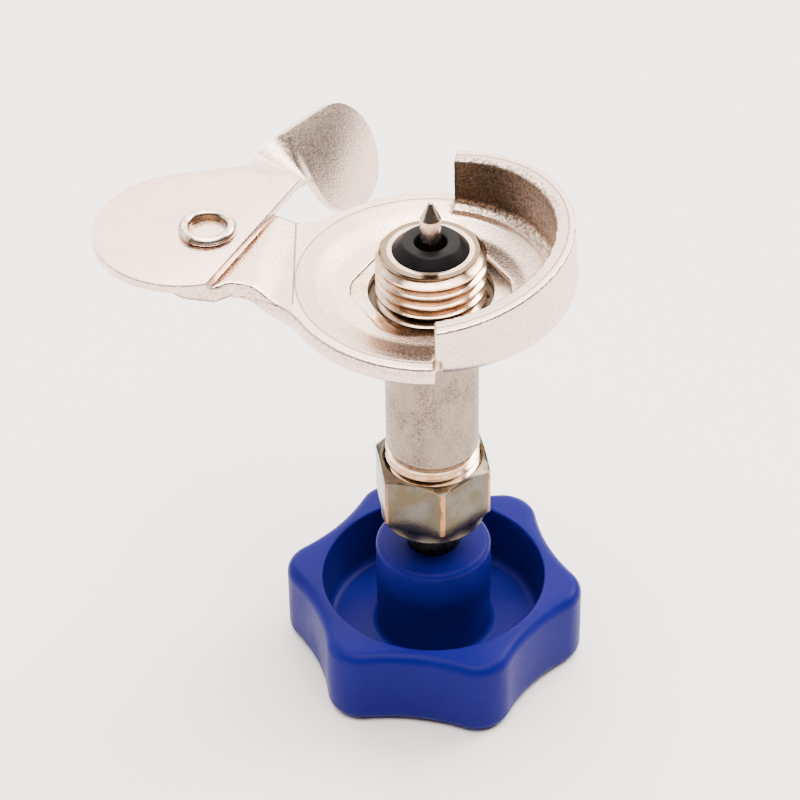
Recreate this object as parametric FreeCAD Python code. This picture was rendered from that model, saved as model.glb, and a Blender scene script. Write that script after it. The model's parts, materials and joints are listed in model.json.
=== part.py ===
import FreeCAD, Part
import math
import os
from FreeCAD import Placement, Rotation, Vector

# Can piercing tap. It stands on the flat face of its hand knob, needle up.
# The origin is on the spindle's axis, at the knob's flat face. +Z points along
# the needle. The tongue of the bracket points to -X. Lengths are millimetres.

# Hand knob: a moulded cup with a hub in the middle and six lobes outside.
knob_height = 11.6
knob_lobes = 6
lobe_radius = 4.7
lobe_reach = 19.9
lobe_phase = -8.7
lobe_depth = 3.0
knob_edge_round = 1.6
cup_wall = 2.1
cup_floor = 3.2
cup_draft = 0.5
cup_floor_round = 1.2
cup_lip_round = 0.35
hub_radius = 7.65
hub_height = 17.8
hub_round = 0.9
hub_root_round = 0.8

# Spindle, with a hexagonal end that sits in the hub and a threaded upper part.
spindle_radius = 3.5
spindle_hex = 5.4
hub_seat_depth = 2.6
hex_seat_depth = 12.0
slip = 0.05
spindle_thread_radius = 4.0
spindle_thread_length = 5.6
nose_radius = 2.8
nose_cone = 1.2
needle_seat_depth = 4.0
screw_travel = 6.8

# Packing nut and what it presses on.
knob_to_nut = 4.9
nut_flats = 13.8
nut_height = 9.8
nut_base_radius = 6.8
nut_base_height = 1.9
nut_turn = 9.3
nut_floor = 2.2
nut_mouth_chamfer = 0.4
packing_radius = 4.6
packing_length = 3.6
packing_washer_thick = 0.8
follower_flange_radius = 5.7
follower_flange = 1.2
follower_nose = 1.4

# Valve body, turned from hexagonal bar.
stem_radius = 6.0
stem_thread_radius = 6.1
nut_to_shoulder = 2.5
shoulder_to_rim = 26.05
stem_thread_chamfer = 0.5
thread_relief = 0.5
seat_radius = 10.6
seat_thick = 2.0
collar_flats = 18.4
collar_corner_radius = 9.9
collar_below_floor = 0.3
collar_groove_radius = 7.9
collar_groove_depth = 1.4
nipple_radius = 6.9
nipple_neck_radius = 6.1
nipple_above_rim = 4.35
nipple_chamfer = 0.75
chamber_radius = 3.4
chamber_below_rim = 6.35
needle_bore = 1.9
seal_seat_depth = 4.0

# Can seal and needle.
seal_radius = 4.78
seal_top_radius = 3.5
seal_proud = 1.3
seal_bore = 2.0
needle_radius = 1.3
needle_cone = 2.3
needle_tip_radius = 0.25
needle_above_seal = 5.7

# Side outlet, a fitting that is pressed into the stem.
outlet_above_thread = 0.4
outlet_turn = 78.0
outlet_flat = 5.4
outlet_spigot_radius = 2.9
outlet_spigot = 1.9
outlet_neck_radius = 4.7
outlet_neck = 2.6
outlet_thread_radius = 5.55
outlet_thread_length = 9.0
outlet_groove_radius = 4.7
outlet_groove = 0.9
outlet_end_radius = 5.3
outlet_end = 3.4
outlet_end_chamfer = 0.8
outlet_bore = 1.5
outlet_mouth = 2.6
outlet_mouth_depth = 6.0

# Bracket plate: one stamping with a dished floor, a wall half way round for
# the can's rim, and a tongue for the lever.
sheet = 2.4
rim_radius = 18.2
rim_flat = 1.5
dish_shoulder_width = 1.9
dish_shoulder_drop = 0.5
dish_slope_width = 2.9
dish_depth = 1.6
dish_round = 2.0
wall_height = 5.8
wall_slope = 9.0
wall_slope_turn = 13.8
wall_lean = 0.8
wall_thick = 2.4
wall_bend = 1.3
wall_start = -88.7
wall_end = 79.0
wall_notch = 0.8
tongue_turn = 169.5
tongue_half = 7.45
tongue_root_round = 10.6
tongue_rise = 1.8
tongue_bend_start = -0.2
tongue_bend_length = 3.2
tongue_bend_round = 4.0
tongue_length = 14.4
tongue_end_half = 8.9
tongue_straight = 5.6
tongue_end_round = 4.4
tongue_waist_round = 1.6
rivet_beyond_rim = 9.9
rivet_radius = 3.0

# Rivet and washer of the lever.
rivet_bore = 2.3
rivet_bore_depth = 4.2
rivet_rim_radius = 3.66
rivet_rim_height = 1.1
rivet_head_radius = 4.4
rivet_head_height = 1.7
rivet_gap = 0.1
washer_radius = 4.75
washer_thick = 0.4
washer_gap = 0.05

# Locking lever: a flat lobe on the rivet, a twisted neck and an upright blade.
# Its own axis runs along the neck, from where the twist starts.
lever_sheet = 1.3
lever_turn = 60.5
rivet_to_neck = 14.6
neck_offset = 0.46
neck_width = 7.4
lobe1_x = -15.2
lobe1_y = 3.2
lobe1_radius = 11.76
lobe1_corner_x = -23.7
lobe1_corner_y = -5.15
twist_length = 5.8
twist_angle = 63.0
twist_steps = 6
blade_neck_width = 6.9
blade_x = 13.0
blade_y = -4.7
blade_radius = 7.1
blade_root_round = 1.8

# Radii that follow from the sizes above.
valley_radius = lobe_reach - lobe_depth
cup_radius = valley_radius - cup_wall
dish_radius = rim_radius - rim_flat
dish_shoulder_radius = dish_radius - dish_shoulder_width
dish_floor_radius = dish_shoulder_radius - dish_slope_width

# Heights that follow from the sizes above.
nut_bottom = hub_height + knob_to_nut
nut_top = nut_bottom + nut_height
stem_shoulder = nut_top + nut_to_shoulder
rim_top = stem_shoulder + shoulder_to_rim
nipple_top = rim_top + nipple_above_rim
gland_floor = nut_bottom + nut_floor
stem_end = gland_floor + follower_flange + 0.9
packing_top = stem_end + follower_nose + packing_length - 0.4
washer_top = packing_top + packing_washer_thick
dish_floor = rim_top - dish_depth
dish_under = dish_floor - sheet
rim_under = rim_top - sheet
collar_top = dish_floor - collar_below_floor
seal_top = nipple_top + seal_proud
needle_top = seal_top + needle_above_seal
thread_start = washer_top + screw_travel + 0.4
thread_top = thread_start + spindle_thread_length
chamber_start = thread_top + 0.3
chamber_top = rim_top - chamber_below_rim
seat_top = chamber_top + nose_cone
nose_top = chamber_top - 0.15
outlet_height = thread_top + outlet_spigot_radius + outlet_above_thread
tongue_top = rim_top + tongue_rise
tongue_under = tongue_top - sheet
lever_under = tongue_top + 2.0 * washer_gap + washer_thick
lever_top = lever_under + lever_sheet
rivet_reach = rim_radius + rivet_beyond_rim
tongue_end = rim_radius + tongue_length
tongue_bend = rim_radius + tongue_bend_start
tongue_end_start = rim_radius + tongue_straight


def turned(points):
    """A solid of revolution about Z from a closed outline of (r, z) points."""
    corners = [Vector(r, 0.0, z) for r, z in points]
    outline = Part.makePolygon(corners + corners[:1])
    return Part.Face(outline).revolve(Vector(0, 0, 0), Vector(0, 0, 1), 360.0)


def rod(radius, low, high):
    return Part.makeCylinder(radius, high - low, Vector(0, 0, low))


def hexagon(flats, low, high, turn):
    """A hexagonal prism whose first corner lies at the angle turn."""
    reach = flats / math.sqrt(3.0)
    corners = []
    for k in range(7):
        a = math.radians(turn + 60.0 * k)
        corners.append(Vector(reach * math.cos(a), reach * math.sin(a), low))
    return Part.Face(Part.makePolygon(corners)).extrude(Vector(0, 0, high - low))


def level_edges(shape, height, low=0.0, high=1000.0):
    """The edges that lie at one height, between two distances from the axis."""
    found = []
    for edge in shape.Edges:
        box = edge.BoundBox
        if abs(box.ZMin - height) > 1e-4 or abs(box.ZMax - height) > 1e-4:
            continue
        spot = edge.valueAt(0.5 * (edge.FirstParameter + edge.LastParameter))
        reach = math.hypot(spot.x, spot.y)
        if low <= reach <= high:
            found.append(edge)
    return found


def arc(a, b, c):
    return Part.Arc(a, b, c).toShape()


def flat(x, y):
    return Vector(x, y, 0.0)


def polar(radius, degrees, height=0.0):
    a = math.radians(degrees)
    return Vector(radius * math.cos(a), radius * math.sin(a), height)


def knob_outline():
    """Lobes joined by hollow arcs, each arc tangent to the next."""
    half = 180.0 / knob_lobes
    centre = lobe_reach - lobe_radius
    side = centre * math.cos(math.radians(half))
    # The hollow's radius follows from the valley's distance to the axis.
    top = lobe_radius ** 2 - centre ** 2 - valley_radius ** 2 + 2.0 * valley_radius * side
    hollow = top / (2.0 * (valley_radius - side - lobe_radius))
    edges = []
    for k in range(knob_lobes):
        middle = lobe_phase + 2.0 * half * k
        here = polar(centre, middle)
        left = polar(valley_radius + hollow, middle + half)
        right = polar(valley_radius + hollow, middle - half)
        after = polar(centre, middle + 2.0 * half)
        start = here + (right - here).normalize() * lobe_radius
        stop = here + (left - here).normalize() * lobe_radius
        follow = after + (left - after).normalize() * lobe_radius
        edges.append(arc(start, polar(lobe_reach, middle), stop))
        edges.append(arc(stop, polar(valley_radius, middle + half), follow))
    return Part.Wire(edges)


def make_handwheel():
    outline = knob_outline()
    cup = Part.Face(outline).extrude(Vector(0, 0, knob_height))
    rounded = level_edges(cup, 0.0) + level_edges(cup, knob_height)
    cup = cup.makeFillet(knob_edge_round, rounded)
    inside = turned([
        (0.0, cup_floor),
        (cup_radius - cup_draft, cup_floor),
        (cup_radius, knob_height),
        (cup_radius, hub_height + 1.0),
        (0.0, hub_height + 1.0),
    ])
    inside = inside.makeFillet(cup_floor_round, level_edges(inside, cup_floor, 0.1))
    cup = cup.cut(inside)
    cup = cup.makeFillet(cup_lip_round, level_edges(cup, knob_height, cup_radius - 0.5, cup_radius + 0.1))
    hub = rod(hub_radius, cup_floor - 1.0, hub_height)
    hub = hub.makeFillet(hub_round, level_edges(hub, hub_height))
    wheel = cup.fuse(hub).removeSplitter()
    wheel = wheel.makeFillet(hub_root_round, level_edges(wheel, cup_floor, hub_radius - 0.1, hub_radius + 0.1))
    seat = rod(spindle_radius + slip, hub_height - hub_seat_depth, hub_height + 1.0)
    socket_low = hub_height - hex_seat_depth - 0.2
    socket = hexagon(spindle_hex + 2.0 * slip, socket_low, hub_height, 30.0)
    return wheel.cut(seat).cut(socket)


def make_spindle():
    seat = hub_height - hub_seat_depth
    end = hub_height - hex_seat_depth
    drive = hexagon(spindle_hex, end, seat + 0.5, 30.0)
    shaft = turned([
        (0.0, seat),
        (spindle_radius, seat),
        (spindle_radius, thread_start - 0.6),
        (spindle_thread_radius - 0.6, thread_start),
        (spindle_thread_radius, thread_start + 0.5),
        (spindle_thread_radius, thread_top - 0.5),
        (spindle_thread_radius - 0.5, thread_top),
        (nose_radius, thread_top),
        (nose_radius, nose_top),
        (needle_radius + 0.5, nose_top + nose_cone - 0.25),
        (0.0, nose_top + nose_cone - 0.25),
    ])
    top = nose_top + nose_cone
    hole = rod(needle_radius + 0.02, top - needle_seat_depth, top + 1.0)
    return drive.fuse(shaft).removeSplitter().cut(hole)


def make_needle():
    foot = nose_top + nose_cone - needle_seat_depth
    return turned([
        (0.0, foot),
        (needle_radius, foot),
        (needle_radius, needle_top - needle_cone),
        (needle_tip_radius, needle_top),
        (0.0, needle_top),
    ])


def make_packing_nut():
    low = nut_bottom + nut_base_height
    blank = hexagon(nut_flats, low, nut_top, -90.0 + nut_turn)
    # The upper corners are turned off at 30 degrees, the lower ones at less.
    corner = nut_flats / math.sqrt(3.0)
    flats = 0.5 * nut_flats
    drop = (corner - flats + 0.3) * math.tan(math.radians(30.0))
    envelope = turned([
        (0.0, low),
        (flats + 0.4, low),
        (corner + 0.1, low + 0.5),
        (corner + 0.1, nut_top - drop - 0.06),
        (flats - 0.3, nut_top),
        (0.0, nut_top),
    ])
    nut = blank.common(envelope)
    foot = rod(nut_base_radius, nut_bottom, low + 0.1)
    foot = foot.makeFillet(0.3, level_edges(foot, nut_bottom))
    nut = nut.fuse(foot).removeSplitter()
    thread = stem_thread_radius + slip
    inside = turned([
        (0.0, gland_floor),
        (thread, gland_floor),
        (thread, nut_top - nut_mouth_chamfer),
        (thread + nut_mouth_chamfer, nut_top),
        (thread + nut_mouth_chamfer, nut_top + 1.0),
        (0.0, nut_top + 1.0),
    ])
    hole = rod(spindle_radius + 0.3, nut_bottom - 1.0, gland_floor + 1.0)
    return nut.cut(inside).cut(hole)


def make_gland_follower():
    bore = spindle_radius + slip
    tube = packing_radius - slip
    middle = gland_floor + follower_flange
    top = stem_end + follower_nose - 0.4
    return turned([
        (bore, gland_floor),
        (follower_flange_radius, gland_floor),
        (follower_flange_radius, middle),
        (tube, middle),
        (tube, top),
        (bore, top),
    ])


def make_stem_packing():
    bore = spindle_radius + slip
    low = stem_end + follower_nose - 0.4
    return turned([
        (bore, low),
        (packing_radius - 0.02, low),
        (packing_radius - 0.02, packing_top),
        (bore, packing_top),
    ])


def make_packing_washer():
    bore = spindle_radius + slip
    return turned([
        (bore, packing_top),
        (packing_radius - slip, packing_top),
        (packing_radius - slip, washer_top),
        (bore, washer_top),
    ])


def outlet_placement():
    """Puts a piece made along +Z onto the side outlet's axis."""
    lie_down = Rotation(Vector(0, 0, 1), polar(1.0, outlet_turn))
    return Placement(Vector(0, 0, outlet_height), lie_down)


def make_valve_body():
    relief_low = stem_shoulder - thread_relief
    shell = turned([
        (0.0, stem_end),
        (stem_thread_radius - stem_thread_chamfer, stem_end),
        (stem_thread_radius, stem_end + stem_thread_chamfer),
        (stem_thread_radius, relief_low - 0.2),
        (stem_thread_radius - 0.5, relief_low),
        (stem_thread_radius - 0.5, stem_shoulder - 0.2),
        (stem_radius, stem_shoulder),
        (stem_radius, dish_under - seat_thick - 0.6),
        (stem_radius + 0.6, dish_under - seat_thick),
        (seat_radius, dish_under - seat_thick),
        (seat_radius, dish_under),
        (0.0, dish_under),
    ])
    collar = hexagon(collar_flats, dish_under - 0.5, collar_top, 0.0)
    collar = collar.common(rod(collar_corner_radius, dish_under - 0.5, collar_top))
    groove_floor = collar_top - collar_groove_depth
    nipple = turned([
        (0.0, groove_floor - 0.5),
        (nipple_neck_radius, groove_floor - 0.5),
        (nipple_neck_radius, collar_top + 0.2),
        (nipple_radius, collar_top + 0.8),
        (nipple_radius, nipple_top - nipple_chamfer),
        (nipple_radius - nipple_chamfer, nipple_top),
        (0.0, nipple_top),
    ])
    groove = rod(collar_groove_radius, groove_floor, collar_top + 1.0)
    body = shell.fuse(collar).cut(groove).fuse(nipple).removeSplitter()
    thread = spindle_thread_radius + slip
    bore = turned([
        (0.0, stem_end - 1.0),
        (packing_radius, stem_end - 1.0),
        (packing_radius, washer_top),
        (thread, washer_top),
        (thread, chamber_start),
        (chamber_radius, chamber_start),
        (chamber_radius, chamber_top),
        (needle_bore, seat_top),
        (needle_bore, nipple_top - seal_seat_depth),
        (seal_radius + slip, nipple_top - seal_seat_depth),
        (seal_radius + slip, nipple_top + 1.0),
        (0.0, nipple_top + 1.0),
    ])
    body = body.cut(bore)
    spot = Part.makeCylinder(outlet_neck_radius + 0.4, 10.0, Vector(0, 0, outlet_flat))
    pocket = Part.makeCylinder(outlet_spigot_radius + 0.02, 10.0, Vector(0, 0, 0))
    spot.Placement = outlet_placement()
    pocket.Placement = outlet_placement()
    return body.cut(spot).cut(pocket)


def make_can_seal():
    low = nipple_top - seal_seat_depth
    return turned([
        (seal_bore, low),
        (seal_radius, low),
        (seal_radius, nipple_top),
        (seal_top_radius, seal_top),
        (seal_bore, seal_top),
    ])


def make_outlet_fitting():
    neck_end = outlet_flat + outlet_neck
    thread_end = neck_end + outlet_thread_length
    groove_end = thread_end + outlet_groove
    end = groove_end + outlet_end
    fitting = turned([
        (outlet_bore, outlet_flat - outlet_spigot),
        (outlet_spigot_radius, outlet_flat - outlet_spigot),
        (outlet_spigot_radius, outlet_flat),
        (outlet_neck_radius, outlet_flat),
        (outlet_neck_radius, neck_end),
        (outlet_thread_radius, neck_end + 0.6),
        (outlet_thread_radius, thread_end - 0.6),
        (outlet_groove_radius, thread_end),
        (outlet_groove_radius, groove_end),
        (outlet_end_radius, groove_end + 0.3),
        (outlet_end_radius, end - outlet_end_chamfer),
        (outlet_end_radius - outlet_end_chamfer, end),
        (outlet_mouth, end),
        (outlet_mouth, end - outlet_mouth_depth),
        (outlet_bore, end - outlet_mouth_depth - 0.8),
    ])
    fitting.Placement = outlet_placement()
    return fitting


def sector(profile, start, stop):
    """Turns an (r, z) outline through part of a circle."""
    face = Part.Face(profile)
    face.rotate(Vector(0, 0, 0), Vector(0, 0, 1), start)
    return face.revolve(Vector(0, 0, 0), Vector(0, 0, 1), stop - start)


def ring_profile(points):
    corners = [Vector(r, 0.0, z) for r, z in points]
    return Part.makePolygon(corners + corners[:1])


def wall_profile():
    """Floor edge, bend and leaning wall, as one (r, z) outline."""
    foot = rim_radius - wall_thick - wall_bend
    outer = wall_bend + wall_thick
    bend_z = rim_under + outer
    slant = math.sqrt(0.5)
    centre = Vector(foot, 0, bend_z)
    low_a = Vector(foot, 0, rim_under)
    low_b = centre + Vector(outer * slant, 0, -outer * slant)
    low_c = Vector(rim_radius, 0, bend_z)
    # The lean is kept by aiming at the top, past the height where it is cut.
    top_out = Vector(rim_radius - wall_lean, 0, rim_top + 2.0 * wall_height)
    top_in = top_out - Vector(wall_thick, 0, 0)
    up_a = Vector(rim_radius - wall_thick, 0, bend_z)
    up_b = centre + Vector(wall_bend * slant, 0, -wall_bend * slant)
    up_c = Vector(foot, 0, bend_z - wall_bend)
    return Part.Wire([
        arc(low_a, low_b, low_c),
        Part.makeLine(low_c, top_out),
        Part.makeLine(top_out, top_in),
        Part.makeLine(top_in, up_a),
        arc(up_a, up_b, up_c),
        Part.makeLine(up_c, low_a),
    ])


def wall_trim():
    """What is cut off above the wall, which is highest at its middle."""
    size = 3.0 * rim_radius
    block = Part.makeBox(2.0 * size, 2.0 * size, size, Vector(-size, -size, 0))
    block.rotate(Vector(0, 0, 0), Vector(0, 1, 0), -wall_slope)
    block.rotate(Vector(0, 0, 0), Vector(0, 0, 1), wall_slope_turn)
    block.translate(Vector(0, 0, rim_top + wall_height))
    return block


def tongue_plan():
    """Outline of the tongue seen from above, along +X, as one face."""
    root = tongue_root_round
    sx = math.sqrt((rim_radius + root) ** 2 - (tongue_half + root) ** 2)
    centre = flat(sx, tongue_half + root)
    touch = centre * (rim_radius / (rim_radius + root))
    low = flat(sx, tongue_half)
    mid = centre + ((touch + low) * 0.5 - centre).normalize() * root
    a = tongue_end_start
    w = tongue_end_half
    r = tongue_end_round
    q = tongue_waist_round
    e = tongue_end
    slant = math.sqrt(0.5)
    shoulder = flat(e - r, w)
    side = [
        (touch, mid, low),
        (low, None, flat(a, tongue_half)),
        (flat(a, tongue_half), None, flat(a + q, w)),
        (flat(a + q, w), None, shoulder),
        (shoulder, flat(e - r + r * slant, w - r + r * slant), flat(e, w - r)),
    ]
    edges = []
    for p, m, s in side:
        edges.append(Part.makeLine(p, s) if m is None else arc(p, m, s))
        pm, sm = flat(p.x, -p.y), flat(s.x, -s.y)
        edges.append(Part.makeLine(sm, pm) if m is None else arc(sm, flat(m.x, -m.y), pm))
    edges.append(Part.makeLine(flat(e, w - r), flat(e, r - w)))
    edges.append(Part.makeLine(flat(touch.x, -touch.y), touch))
    return Part.Face(Part.Wire(Part.__sortEdges__(edges)))


def tongue_side():
    """The tongue's bent sheet seen from the side, as a face in the XZ plane."""
    bend = tongue_bend + tongue_bend_length
    start = dish_shoulder_radius
    top = [
        (start, rim_top),
        (tongue_bend, rim_top),
        (bend, tongue_top),
        (tongue_end + 1.0, tongue_top),
    ]
    bottom = [
        (tongue_end + 1.0, tongue_under),
        (bend + 0.5, tongue_under),
        (tongue_bend + 0.5, rim_under),
        (start, rim_under),
    ]
    return Part.Face(ring_profile(top + bottom))


def crease_edges(side):
    """The four edges where the tongue's sheet bends up from the rim."""
    found = []
    for edge in side.Edges:
        box = edge.BoundBox
        across = box.XLength < 1e-4 and box.ZLength < 1e-4
        if across and tongue_bend - 0.1 < box.XMin < tongue_bend + tongue_bend_length + 0.6:
            found.append(edge)
    return found


def make_bracket_plate():
    foot = rim_radius - wall_thick - wall_bend
    shoulder = rim_top - dish_shoulder_drop
    dish = [
        (dish_floor_radius, dish_floor),
        (dish_shoulder_radius, shoulder),
        (dish_radius, rim_top),
    ]
    under = [
        (dish_radius + 0.5, rim_under),
        (dish_shoulder_radius + 0.6, shoulder - sheet),
        (dish_floor_radius + 0.7, dish_under),
    ]
    middle = [(0.0, dish_under), (0.0, dish_floor)]
    edge = [(rim_radius, rim_top), (rim_radius, rim_under)]
    full = ring_profile(middle + dish + edge + under)
    floor = Part.Face(full).revolve(Vector(0, 0, 0), Vector(0, 0, 1), 360.0)
    # The punch leaves soft bends where the dish meets its floor and its rim.
    creases = level_edges(floor, dish_floor, 1.0) + level_edges(floor, rim_top, 1.0, dish_radius + 0.1)
    floor = floor.makeFillet(dish_round, creases)
    # Half of the rim turns up into the wall instead of staying flat.
    away = sector(ring_profile([
        (foot, rim_under - 5.0),
        (rim_radius + 5.0, rim_under - 5.0),
        (rim_radius + 5.0, rim_top + 5.0),
        (foot, rim_top + 5.0),
    ]), wall_start, wall_end)
    wall = sector(wall_profile(), wall_start, wall_end).cut(wall_trim())
    plate = floor.cut(away).fuse(wall)
    low, high = rim_under - 1.0, tongue_top + 1.0
    plan = tongue_plan()
    plan.translate(Vector(0, 0, low))
    plan = plan.extrude(Vector(0, 0, high - low))
    side = tongue_side()
    side.translate(Vector(0, -rim_radius, 0))
    side = side.extrude(Vector(0, 2.0 * rim_radius, 0))
    side = side.makeFillet(tongue_bend_round, crease_edges(side))
    tongue = plan.common(side).cut(rod(dish_radius + 0.4, low, high))
    tongue.rotate(Vector(0, 0, 0), Vector(0, 0, 1), tongue_turn)
    plate = plate.fuse(tongue).removeSplitter()
    pin = polar(rivet_reach, tongue_turn, low)
    plate = plate.cut(Part.makeCylinder(rivet_radius + slip, high - low, pin))
    hole = hexagon(collar_flats + 2.0 * slip, low - 5.0, high, 0.0)
    hole = hole.common(rod(collar_corner_radius + slip, low - 5.0, high))
    plate = plate.cut(hole)
    # A short saw cut frees each end of the wall from the flat rim.
    for turn in (wall_start, wall_end):
        half = 0.5 * wall_notch
        inner = rim_radius - wall_thick + 0.2
        slot = Part.makeBox(wall_thick + 2.0, wall_notch, sheet + 1.6, Vector(inner, -half, rim_under - 0.5))
        shift = math.degrees(half / rim_radius)
        slot.rotate(Vector(0, 0, 0), Vector(0, 0, 1), turn + (shift if turn == wall_start else -shift))
        plate = plate.cut(slot)
    return plate


def pivot():
    return polar(rivet_reach, tongue_turn)


def make_lever_rivet():
    head_low = tongue_under - rivet_head_height
    top = lever_top + rivet_gap + rivet_rim_height
    rim_low = lever_top + rivet_gap
    stem = turned([
        (0.0, head_low + 0.4),
        (0.0, tongue_under - 0.1),
        (0.0, top - rivet_bore_depth),
        (rivet_bore, top - rivet_bore_depth),
        (rivet_bore, top - 0.4),
        (rivet_bore + 0.4, top),
        (rivet_rim_radius - 0.45, top),
        (rivet_rim_radius, top - 0.45),
        (rivet_rim_radius, rim_low + 0.3),
        (rivet_rim_radius - 0.3, rim_low),
        (rivet_radius, rim_low),
        (rivet_radius, tongue_under),
        (rivet_head_radius, tongue_under),
        (rivet_head_radius, tongue_under - 0.5),
        (rivet_head_radius * 0.8, head_low + 0.3),
        (rivet_head_radius * 0.45, head_low),
        (0.0, head_low),
    ])
    stem.translate(pivot())
    return stem


def make_pivot_washer():
    low = tongue_top + washer_gap
    washer = turned([
        (rivet_radius + slip, low),
        (washer_radius, low),
        (washer_radius, low + washer_thick),
        (rivet_radius + slip, low + washer_thick),
    ])
    washer.translate(pivot())
    return washer


def lever_placement():
    turn = Rotation(Vector(0, 0, 1), lever_turn)
    neck = pivot() + turn.multVec(Vector(rivet_to_neck, -neck_offset, 0.0))
    return Placement(neck + Vector(0, 0, 0.5 * (lever_under + lever_top)), turn)


def lever_lobe():
    """The flat lobe, drawn in the lever's own frame at mid thickness."""
    half = 0.5 * neck_width
    centre = flat(lobe1_x, lobe1_y)
    corner = flat(lobe1_corner_x, lobe1_corner_y)
    away = (corner - centre).normalize()
    corner = centre + away * lobe1_radius
    neck_far = flat(0.0, half)
    # The far edge leaves the round lobe along its tangent.
    gap = neck_far - centre
    lean = math.atan2(gap.y, gap.x) + math.acos(lobe1_radius / gap.Length)
    touch = centre + flat(math.cos(lean), math.sin(lean)) * lobe1_radius
    low = math.atan2(corner.y - centre.y, corner.x - centre.x) % (2.0 * math.pi)
    high = lean % (2.0 * math.pi)
    middle = 0.5 * (low + high)
    back = centre + flat(math.cos(middle), math.sin(middle)) * lobe1_radius
    outline = Part.Wire([
        arc(corner, back, touch),
        Part.makeLine(touch, neck_far),
        Part.makeLine(neck_far, flat(0.0, -half)),
        Part.makeLine(flat(0.0, -half), corner),
    ])
    face = Part.Face(outline)
    face.translate(Vector(0, 0, -0.5 * lever_sheet))
    return face.extrude(Vector(0, 0, lever_sheet))


def lever_section(x, width, turn):
    """A cross-section of the sheet, turned about the lever's axis."""
    half = 0.5 * width
    thick = 0.5 * lever_sheet
    corners = [(-half, -thick), (half, -thick), (half, thick), (-half, thick), (-half, -thick)]
    wire = Part.makePolygon([Vector(x, y, z) for y, z in corners])
    wire.rotate(Vector(0, 0, 0), Vector(1, 0, 0), turn)
    return wire


def lever_neck():
    sections = []
    for k in range(twist_steps + 1):
        f = k / twist_steps
        smooth = f * f * (3.0 - 2.0 * f)
        width = neck_width + (blade_neck_width - neck_width) * f
        sections.append(lever_section(twist_length * f, width, twist_angle * smooth))
    return Part.makeLoft(sections, True, False)


def lever_blade():
    half = 0.5 * blade_neck_width
    centre = flat(blade_x, blade_y)
    top = flat(twist_length, half)
    gap = top - centre
    lean = math.atan2(gap.y, gap.x) - math.acos(blade_radius / gap.Length)
    touch = centre + flat(math.cos(lean), math.sin(lean)) * blade_radius
    # A small hollow joins the neck's near edge to the round blade.
    q = blade_root_round
    reach = blade_radius + q
    hollow_y = -half - q
    hollow_x = blade_x - math.sqrt(reach ** 2 - (hollow_y - blade_y) ** 2)
    hollow = flat(hollow_x, hollow_y)
    meet = hollow + (centre - hollow).normalize() * q
    leave = flat(max(hollow_x, twist_length + 0.01), -half)
    bend = hollow + ((meet + leave) * 0.5 - hollow).normalize() * q
    start = math.atan2(meet.y - centre.y, meet.x - centre.x) % (2.0 * math.pi)
    stop = lean % (2.0 * math.pi)
    if stop < start:
        stop += 2.0 * math.pi
    middle = 0.5 * (start + stop)
    far = centre + flat(math.cos(middle), math.sin(middle)) * blade_radius
    near = flat(twist_length, -half)
    outline = Part.Wire([
        Part.makeLine(top, near),
        Part.makeLine(near, leave),
        arc(leave, bend, meet),
        arc(meet, far, touch),
        Part.makeLine(touch, top),
    ])
    face = Part.Face(outline)
    face.translate(Vector(0, 0, -0.5 * lever_sheet))
    blade = face.extrude(Vector(0, 0, lever_sheet))
    blade.rotate(Vector(0, 0, 0), Vector(1, 0, 0), twist_angle)
    return blade


def make_lock_lever():
    lever = lever_lobe().fuse(lever_neck()).fuse(lever_blade()).removeSplitter()
    lever.Placement = lever_placement()
    pin = pivot() + Vector(0, 0, lever_under - 1.0)
    return lever.cut(Part.makeCylinder(rivet_radius + slip, lever_sheet + 2.0, pin))


def main():
    os.makedirs("parts", exist_ok=True)
    pieces = {
        "handwheel": make_handwheel(),
        "spindle": make_spindle(),
        "piercing_needle": make_needle(),
        "packing_nut": make_packing_nut(),
        "gland_follower": make_gland_follower(),
        "stem_packing": make_stem_packing(),
        "packing_washer": make_packing_washer(),
        "valve_body": make_valve_body(),
        "outlet_fitting": make_outlet_fitting(),
        "can_seal": make_can_seal(),
        "bracket_plate": make_bracket_plate(),
        "lever_rivet": make_lever_rivet(),
        "pivot_washer": make_pivot_washer(),
        "lock_lever": make_lock_lever(),
    }
    for name, shape in pieces.items():
        print(name, shape.isValid(), len(shape.Solids), round(shape.Volume, 2), shape.BoundBox)
        shape.exportStep("parts/" + name + ".step")


main()
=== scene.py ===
# %% [markdown]
# A can piercing tap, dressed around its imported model. The tap stands on its
# blue hand knob with the needle up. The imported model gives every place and
# size. This script adds what a turned, stamped and moulded thing shows up
# close: threads, softened edges, plating, grain and the mould's parting line.
# Each cell below makes one piece or one finish, and says why it is made so.

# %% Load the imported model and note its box
import json
import math

import bpy
from mathutils import Matrix, Vector

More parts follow.
